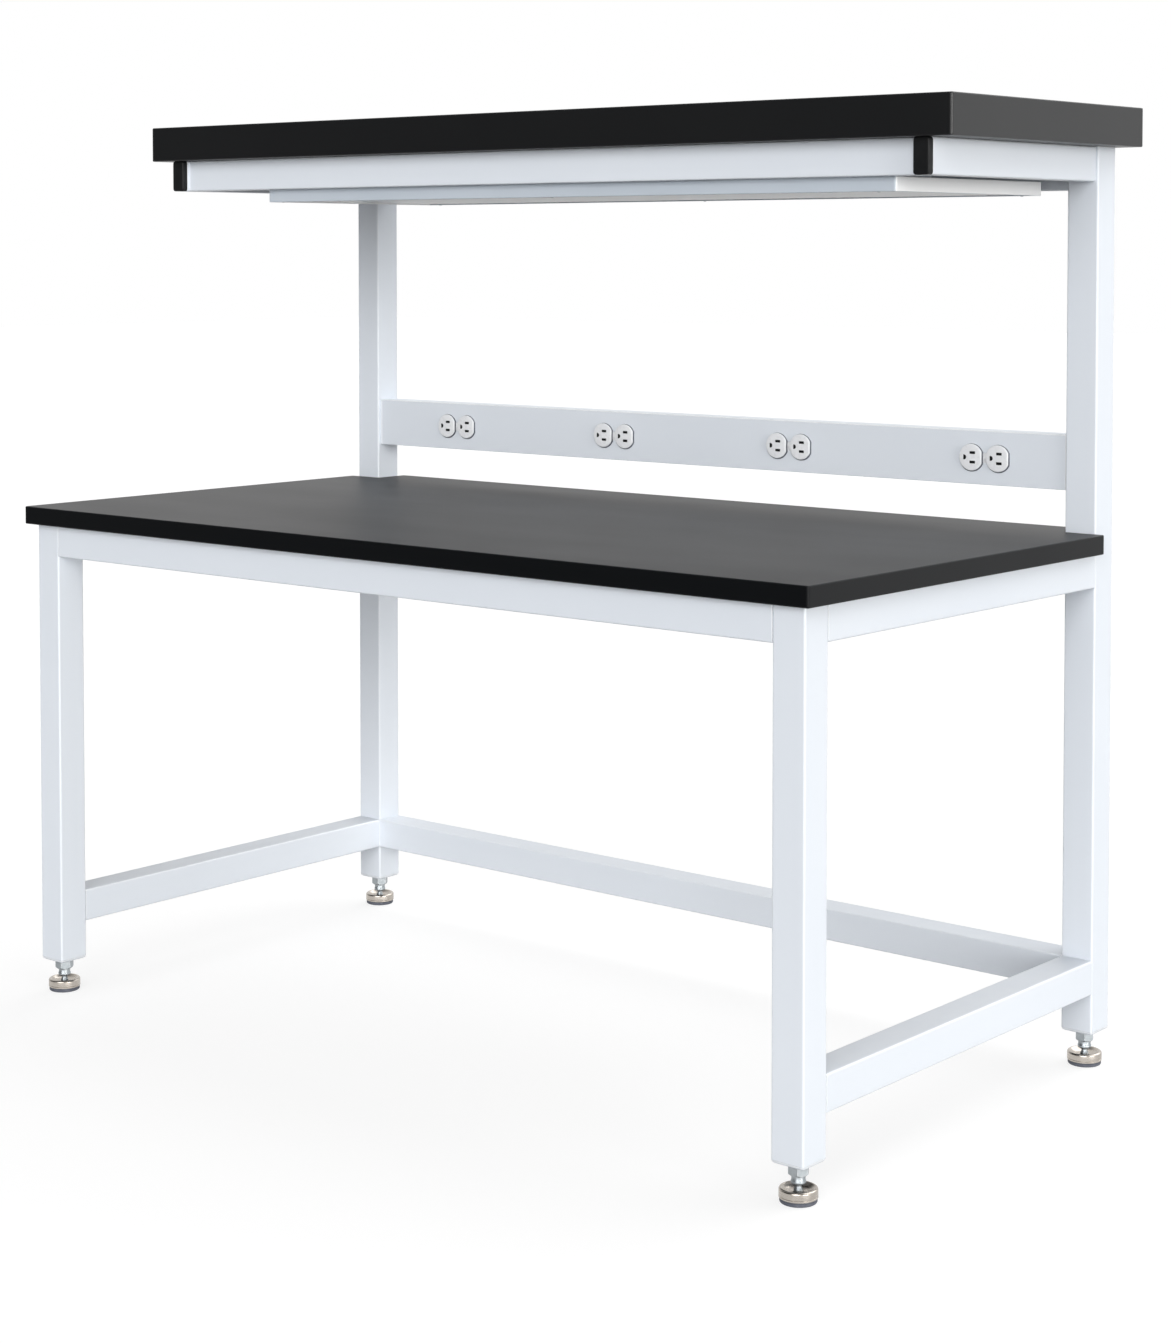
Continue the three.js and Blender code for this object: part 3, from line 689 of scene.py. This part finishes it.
def face_solid():
    """One receptacle face: a rounded rim, a flat front and slots sunk into it."""
    rim = arc((FACE_RIM, FACE_REACH - FACE_RIM), FACE_RIM, 180, 90)
    sides = [at_level(face_outline(), FACE_ROOT)]
    sides += [at_level(face_outline(inset), w) for inset, w in rim]
    vertices, faces = loft(sides, closed_ends=False)
    faces.append(list(range(len(sides[0])))[::-1])
    holes = slot_outlines()
    mouths = [at_level(hole, FACE_REACH) for hole in holes]
    floors = [at_level(hole, SLOT_FLOOR) for hole in holes]
    front = [[Vector(point) for point in polygon] for polygon in (sides[-1], *mouths)]
    front_solid = [tuple(point) for polygon in front for point in polygon], tessellate_polygon(front)
    walls = [loft(ends, closed_ends=False) for ends in zip(floors, mouths)]
    ends = [(floor, [list(range(len(floor)))]) for floor in floors]
    return merged((vertices, faces), front_solid, *walls, *ends)


def plate(width, height, corner, back, front, ease):
    """A flat solid with round corners, eased along its front edge."""
    levels = ((0, back), (0, front - ease), (ease * 0.3, front - ease * 0.3), (ease, front))
    return loft([
        at_level(rounded_rectangle(width - 2 * inset, height - 2 * inset, corner), w)
        for inset, w in levels
    ])


def receptacle_solid():
    """Two faces, the strap between them and the device behind the rail's cover."""
    face = face_solid()
    faces = [shifted(face, shift) for shift in FACE_SHIFTS]
    strap = plate(FACE_SPACING, 2 * STRAP_HALF, STRAP_CORNER, FACE_ROOT, STRAP_REACH, STRAP_EASE)
    device = plate(*DEVICE, DEVICE_CORNER, DEVICE_BACK, DEVICE_FRONT, DEVICE_EASE)
    return merged(*faces, strap, device)


def slot_shade_solid():
    """Dark plugs just inside the slots: painted shade that blackens their depths."""
    shade_plugs = []
    for shift in FACE_SHIFTS:
        for ring in slot_outlines():
            centre = Vector((sum(u for u, _ in ring), sum(v for _, v in ring))) / len(ring)
            rings = []
            for size, w in SLOT_SHADE_LEVELS:
                points = [centre + (Vector(point) - centre) * size for point in ring]
                rings.append([(point.x + shift, point.y, w) for point in points])
            shade_plugs.append(loft(rings))
    return merged(*shade_plugs)


def gasket_solid():
    """Thin dark gaskets round the two faces, set a little down and to the right so that they show below
    and right of each face: painted shade of the faces' sides.
    """
    levels = (
        (GASKET_LAP, GASKET_ROOT), (-GASKET, GASKET_ROOT), (-GASKET, GASKET_REACH - GASKET_EASE),
        (GASKET_EASE - GASKET, GASKET_REACH), (GASKET_LAP, GASKET_REACH), (GASKET_LAP, GASKET_ROOT),
    )
    gasket = loft([at_level(face_outline(inset), w) for inset, w in levels], closed_ends=False)
    shade_shifted = shifted(gasket, *GASKET_SHADE_SHIFT)
    return merged(*(shifted(shade_shifted, shift) for shift in FACE_SHIFTS))


def screw_solid(radius, height):
    """A slotted screw head: two halves of a low dome on a base disc."""
    base_height = height * SCREW_DOME[0][1]
    base = turned([(0, 0), (radius, 0), (radius, base_height), (0, base_height)], SCREW_STEPS)
    halves = []
    for sign in (-1, 1):
        rings = []
        for share, rise in SCREW_DOME:
            reach = radius * share
            angle = math.degrees(math.asin(SCREW_SLOT / 2 / reach))
            half_round = arc((0, 0), reach, angle, 180 - angle, SCREW_STEPS // 2)
            rings.append([(u, sign * v, rise * height) for u, v in half_round])
        halves.append(loft(rings))
    return merged(base, *halves)


def dress_receptacle(index):
    node = f"receptacle_{index}"
    x, _, z = middle(*millimetres(node))
    front = millimetres("power_cover")[0].y

    def out(u, v, w):
        return x + u, front - w, z + v

    head = shifted(screw_solid(**STRAP_SCREW), w=STRAP_REACH + STRAP_SCREW_RISE)
    shank = shifted(turned(STRAP_SHANK, SCREW_STEPS // 2), w=STRAP_REACH)
    for name, solid, finish, replaced in (
        ("receptacle_dressed", receptacle_solid(), "white_plastic", node),
        # Painted shade: black plugs that darken the slots.
        ("receptacle_slot_shade", slot_shade_solid(), "black_plastic", None),
        # Dark rims round the faces, partly painted shade of the faces' sides.
        ("receptacle_gasket", gasket_solid(), "rubber", None),
        ("receptacle_screw_dressed", merged(head, shank), "white_plastic", f"receptacle_screw_{index}"),
    ):
        piece(f"{name}_{index}", moved(solid, out), finish, "frame", replaced)


for index in range(1, RECEPTACLES + 1):
    dress_receptacle(index)


# Small hardware

CAP_CORNER = 4.5
CAP_EASE = 1.8
CAP_PLUG = 2.3  # from the cap's side in to its plug
GLAND_BORE = 4.0
GLAND_NECK = 6.9
GLAND_RIBS = 24
POINTS_PER_RIB = 4
RIB_DEPTH = 0.4
BEZEL_GAP = 1.0  # round the rocker, both sides together
BEZEL_OPENING = 11.4
BEZEL_CORNER = 1.6
BEZEL_LEVELS = (  # (growth over the opening, reach)
    (0.0, 0.0), (4.0, 0.0), (4.0, 0.7), (3.0, 1.2), (0.6, 1.2), (0.0, 0.8), (0.0, 0.0),
)
SCREW_LAY = 0.7  # how much further each screw is turned than the last
APRON_SCREWS_X = (-560, 0, 560)
APRON_SCREWS_Y = (-180, 180)
APRON_SCREW = {"radius": 6.0, "height": 3.2}
LIGHT_SCREW_INSET = (30, 4.6)
LIGHT_SCREW = {"radius": 2.4, "height": 0.9}
POWER_SCREW_INSET = (25, 14)
POWER_SCREW = {"radius": 3.2, "height": 1.4}


def dress_cap(side):
    """The plastic cap on a shelf arm's front end: rounded corners, a softened front, a plug inside."""
    cap = f"shelf_arm_cap_{side}"
    low, high = millimetres(cap)
    x, _, z = middle(low, high)
    seat = millimetres(f"shelf_arm_{side}")[0].y
    width, height = high.x - low.x, high.z - low.z

    def ring(inset, y):
        outline = rounded_rectangle(width - 2 * inset, height - 2 * inset, CAP_CORNER - inset / 2, steps=6)
        return [(x + u, y, z + v) for u, v in outline]

    front = arc((CAP_EASE, CAP_EASE), CAP_EASE, 270, 180)
    rings = [ring(inset, low.y + rise) for inset, rise in front]
    rings += [ring(0, seat), ring(CAP_PLUG, seat), ring(CAP_PLUG, high.y)]
    piece(f"shelf_arm_cap_dressed_{side}", loft(rings), "black_plastic", "frame", cap)


def dress_gland():
    """The cable gland behind the power rail: a flange and a ribbed dome nut round an open bore."""
    low, high = millimetres("power_gland")
    x, _, z = middle(low, high)
    back = millimetres("power_channel")[1].y
    inside, end, radius = low.y, high.y, (high.x - low.x) / 2
    points = POINTS_PER_RIB * GLAND_RIBS

    def ring(size, y, ripple=0.0):
        ring_points = []
        for step in range(points):
            angle = 2 * math.pi * step / points
            r = size - ripple * (step % POINTS_PER_RIB in (1, 2))
            ring_points.append((x + r * math.cos(angle), y, z + r * math.sin(angle)))
        return ring_points

    rings = [
        ring(GLAND_BORE, inside), ring(GLAND_NECK, inside), ring(GLAND_NECK, back),
        ring(radius, back), ring(radius, back + 2.6), ring(radius - 0.9, back + 2.9),
        ring(radius - 0.5, back + 3.2, RIB_DEPTH), ring(radius - 0.6, end - 3, RIB_DEPTH),
        ring(radius - 1.2, end - 1.4), ring(radius - 3.2, end - 0.2),
        ring(GLAND_BORE + 0.6, end), ring(GLAND_BORE, end - 0.6), ring(GLAND_BORE, inside),
    ]
    piece("power_gland_dressed", loft(rings, closed_ends=False), "black_plastic", "frame", "power_gland")


def dress_switch():
    """A thin bezel round the rocker on the light's left end."""
    low, high = millimetres("light_switch_rocker")
    housing = millimetres("light_housing")
    end, y, z = housing[0].x, middle(low, high)[1], middle(*housing)[2]
    width = high.y - low.y + BEZEL_GAP
    rings = []
    for growth, reach in BEZEL_LEVELS:
        outline = rounded_rectangle(width + growth, BEZEL_OPENING + growth, BEZEL_CORNER)
        rings.append([(end - reach, y + u, z + v) for u, v in outline])
    piece("light_switch_bezel", loft(rings, closed_ends=False), "black_plastic", "frame")


def facing_down(u, v, w):
    return u, -v, -w


def facing_back(u, v, w):
    return -u, w, v


def add_screws(name, places, facing, size):
    """Slotted screw heads that face one way, as one piece."""
    heads = []
    for number, place in enumerate(places):
        cos, sin = math.cos(SCREW_LAY * number), math.sin(SCREW_LAY * number)

        def put(u, v, w):
            return facing(cos * u - sin * v, sin * u + cos * v, w)

        heads.append(shifted(moved(screw_solid(**size), put), *place))
    piece(name, merged(*heads), "zinc", "frame")


def add_fasteners():
    """Screws up into the worktop, under the light and behind the power rail."""
    places = []
    for node in ("apron_front", "apron_rear"):
        low, high = millimetres(node)
        places += [(x, middle(low, high)[1], low.z) for x in APRON_SCREWS_X]
    for node in ("apron_left", "apron_right"):
        low, high = millimetres(node)
        places += [(middle(low, high)[0], y, low.z) for y in APRON_SCREWS_Y]
    add_screws("worktop_screws", places, facing_down, APRON_SCREW)

    low, high = millimetres("light_housing")
    along, across = LIGHT_SCREW_INSET
    columns = (low.x + along, middle(low, high)[0], high.x - along)
    places = [(x, y, low.z) for x in columns for y in (low.y + across, high.y - across)]
    add_screws("light_screws", places, facing_down, LIGHT_SCREW)

    low, high = millimetres("power_channel")
    along, across = POWER_SCREW_INSET
    columns = (low.x + along, 0, high.x - along)
    places = [(x, high.y, z) for x in columns for z in (low.z + across, high.z - across)]
    add_screws("power_screws", places, facing_back, POWER_SCREW)


for side in ("left", "right"):
    dress_cap(side)
dress_gland()
dress_switch()
add_fasteners()


# Floor and light. Behind the bench the studio is white; in front it is dim, as reflections show.

FLOOR_SIZE = 60.0
FLOOR_DROP = 0.4 * MM
FLOOR_SHADE = 0.27  # how much of the floor's look answers to light and shadow
FLOOR_GLOW = 0.785
FLOOR_GREY = 0.32  # what the floor gives back to the object
FLOOR_FADE = (-3.0, 0.0)  # from dim to white, in metres along Y
AMBIENT = 0.34
DIM = 0.06  # the studio's front, as reflections see it
WORLD_FADE = (-0.6, 0.3)  # from dim to white, by the Y of a direction
SUNS = (  # name, where it comes from, strength, breadth in degrees, colour
    ("key", (0.95, -0.2, 0.06), 1.74, 28, (1.0, 0.985, 0.955)),
    ("fill", (0.38, -0.88, 0.26), 2.16, 45, (1.0, 1.0, 1.0)),
    ("rear", (0.2, 0.55, 0.8), 1.7, 60, (1.0, 1.0, 1.0)),
)


def cleared(owner):
    """The emptied node tree of a material or world."""
    owner.use_nodes = True
    owner.node_tree.nodes.clear()
    return owner.node_tree


def shader(tree, kind, grey, strength=None):
    node = tree.nodes.new(kind)
    node.inputs["Color"].default_value = (grey, grey, grey, 1)
    if strength is not None:
        node.inputs["Strength"].default_value = strength
    return node


def choose(tree, factor, plain, other):
    """Plain where the factor is 0, other where it is 1."""
    pick = tree.nodes.new("ShaderNodeMixShader")
    tree.links.new(factor, pick.inputs[0])
    tree.links.new(plain.outputs[0], pick.inputs[1])
    tree.links.new(other.outputs[0], pick.inputs[2])
    return pick


def studio(tree, kind, coordinates, fade):
    """White behind, dim in front: a glow that grows along Y."""
    place = tree.nodes.new("ShaderNodeTexCoord")
    split = tree.nodes.new("ShaderNodeSeparateXYZ")
    grow = tree.nodes.new("ShaderNodeMapRange")
    grow.interpolation_type = "SMOOTHSTEP"
    for name, value in (("From Min", fade[0]), ("From Max", fade[1]), ("To Min", DIM), ("To Max", 1.0)):
        grow.inputs[name].default_value = value
    tree.links.new(place.outputs[coordinates], split.inputs[0])
    tree.links.new(split.outputs["Y"], grow.inputs["Value"])
    node = shader(tree, kind, 1.0)
    tree.links.new(grow.outputs["Result"], node.inputs["Strength"])
    return node


def seen(tree, plain, reflected, shown):
    """Plain for the light that fills the scene, reflected for gloss, shown to the camera or in glass."""
    path = tree.nodes.new("ShaderNodeLightPath")
    direct = tree.nodes.new("ShaderNodeMath")
    direct.operation = "MAXIMUM"
    tree.links.new(path.outputs["Is Camera Ray"], direct.inputs[0])
    tree.links.new(path.outputs["Is Transmission Ray"], direct.inputs[1])
    mixed = choose(tree, path.outputs["Is Glossy Ray"], plain, reflected)
    return choose(tree, direct.outputs[0], mixed, shown)


def floor_material():
    """Bright to the camera with the object's shadow on it, and see-through from below."""
    material = bpy.data.materials.new("floor")
    tree = cleared(material)
    shown = tree.nodes.new("ShaderNodeAddShader")
    tree.links.new(shader(tree, "ShaderNodeBsdfDiffuse", FLOOR_SHADE).outputs[0], shown.inputs[0])
    tree.links.new(shader(tree, "ShaderNodeEmission", 1.0, FLOOR_GLOW).outputs[0], shown.inputs[1])
    plain = shader(tree, "ShaderNodeBsdfDiffuse", FLOOR_GREY)
    upper = seen(tree, plain, studio(tree, "ShaderNodeEmission", "Object", FLOOR_FADE), shown)
    below = tree.nodes.new("ShaderNodeNewGeometry").outputs["Backfacing"]
    surface = choose(tree, below, upper, tree.nodes.new("ShaderNodeBsdfTransparent"))
    tree.links.new(surface.outputs[0], tree.nodes.new("ShaderNodeOutputMaterial").inputs["Surface"])
    return material


def add_floor():
    half = FLOOR_SIZE / 2
    mesh = bpy.data.meshes.new("floor")
    corners = [(-half, -half, 0), (half, -half, 0), (half, half, 0), (-half, half, 0)]
    mesh.from_pydata(corners, [], [(0, 1, 2, 3)])
    mesh.materials.append(floor_material())
    floor = bpy.data.objects.new("floor", mesh)
    floor.location.z = -FLOOR_DROP
    floor.visible_shadow = False  # part of each broad, low sun lies below the horizon
    scene.collection.objects.link(floor)


def add_world():
    world = bpy.data.worlds.new("studio")
    tree = cleared(world)
    plain = shader(tree, "ShaderNodeBackground", 1.0, AMBIENT)
    shown = shader(tree, "ShaderNodeBackground", 1.0, 1.0)
    surface = seen(tree, plain, studio(tree, "ShaderNodeBackground", "Generated", WORLD_FADE), shown)
    tree.links.new(surface.outputs[0], tree.nodes.new("ShaderNodeOutputWorld").inputs["Surface"])
    scene.world = world


def add_sun(name, comes_from, strength, breadth, colour):
    data = bpy.data.lights.new(name, "SUN")
    data.energy = strength
    data.angle = math.radians(breadth)
    data.color = colour
    sun = bpy.data.objects.new(name, data)
    sun.rotation_euler = Vector(comes_from).to_track_quat("Z", "Y").to_euler()
    scene.collection.objects.link(sun)


add_floor()
add_world()
for sun in SUNS:
    add_sun(*sun)


bpy.context.view_layer.update()
